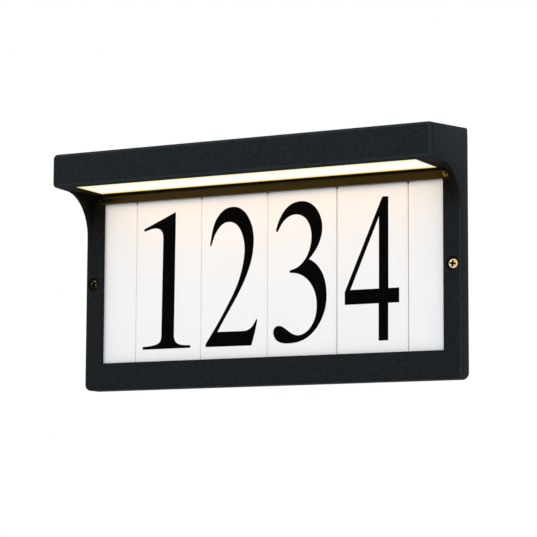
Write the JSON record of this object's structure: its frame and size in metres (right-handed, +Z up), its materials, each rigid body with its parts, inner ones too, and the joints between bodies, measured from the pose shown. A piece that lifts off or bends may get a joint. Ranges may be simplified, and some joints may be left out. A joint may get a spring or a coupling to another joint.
{
  "type": "illuminated house number sign",
  "caption": "Rectangular die-cast wall sign with loose numeral tiles behind a window, lit from a hood along its top and held on a wall plate by two face screws.",
  "frame": {"origin": "on the wall, midway between the two box screw slots of the wall plate, level with the middle of the window", "axes": "+X to the viewer's right along the sign, +Y into the wall, +Z up"},
  "size_m": [0.297, 0.062, 0.1724],
  "materials": {
    "zinc_steel": "zinc plated",
    "standoff_steel": "zinc plated, turned",
    "bush_rubber": "moulded, matte",
    "ground_green": "green passivated",
    "powder_coat": "fine textured powder coat",
    "gasket_foam": "closed-cell foam",
    "pad_foam": "foam sheet",
    "bar_coat": "fine textured powder coat",
    "bar_screw_brass": "bright, lacquered",
    "frosted_lens": "frosted, diffusing",
    "lens_foam": "closed-cell foam",
    "reflector_white": "moulded, satin",
    "board_white": "white solder mask",
    "led_phosphor": "phosphor in a white package",
    "small_screw_steel": "zinc plated",
    "plug_white": "moulded nylon",
    "lead_sleeve": "insulated wire",
    "driver_case": "potted case, fine texture",
    "cover_steel": "zinc plated sheet",
    "face_screw_brass": "bright, lacquered",
    "washer_rubber": "moulded, matte",
    "glazed_tile": "glossy white glaze, opaque"
  },
  "bodies": {
    "wall_mount": {"wall_plate": "zinc_steel", "plate_standoffs": "standoff_steel", "wire_bush": "bush_rubber", "ground_screw": "ground_green"},
    "front": {"housing": "powder_coat", "wall_gasket": "gasket_foam", "tile_pad": "pad_foam", "tile_bar": "bar_coat", "tile_bar_screws": "bar_screw_brass", "lens": "frosted_lens", "lens_gasket": "lens_foam", "reflector": "reflector_white", "led_board": "board_white", "led_packages": "led_phosphor", "led_board_screws": "small_screw_steel", "led_plug": "plug_white", "led_leads": "lead_sleeve", "lead_grommet": "bush_rubber", "led_driver": "driver_case", "driver_screws": "small_screw_steel", "driver_cover": "cover_steel", "driver_cover_screws": "small_screw_steel", "supply_inlet": "bush_rubber", "tile_blank_left": "glazed_tile", "tile_number_1": "glazed_tile", "tile_number_2": "glazed_tile", "tile_number_3": "glazed_tile", "tile_number_4": "glazed_tile", "tile_blank_right": "glazed_tile"},
    "washer_left": {"face_washer_left": "washer_rubber"},
    "screw_left": {"face_screw_left": "face_screw_brass"},
    "washer_right": {"face_washer_right": "washer_rubber"},
    "screw_right": {"face_screw_right": "face_screw_brass"}
  },
  "joints": [
    {"name": "front_lift_off", "type": "slide", "parent": "wall_mount", "child": "front", "axis": [0, -1, 0], "range_m": [0, 0.06]},
    {"name": "washer_left_back_out", "type": "slide", "parent": "front", "child": "washer_left", "axis": [0, -1, 0], "range_m": [0, 0.007]},
    {"name": "screw_left_turn", "type": "hinge", "parent": "washer_left", "child": "screw_left", "pos_m": [-0.1423, -0.0105, 0], "axis": [0, -1, 0], "range_deg": [0, 3600]},
    {"name": "washer_right_back_out", "type": "slide", "parent": "front", "child": "washer_right", "axis": [0, -1, 0], "range_m": [0, 0.007]},
    {"name": "screw_right_turn", "type": "hinge", "parent": "washer_right", "child": "screw_right", "pos_m": [0.1423, -0.0105, 0], "axis": [0, -1, 0], "range_deg": [0, 3600]}
  ],
  "couplings": [
    {"joint": "screw_left_turn", "follows": "washer_left_back_out", "rad_per_m": 8975.9},
    {"joint": "screw_right_turn", "follows": "washer_right_back_out", "rad_per_m": 8975.9}
  ]
}
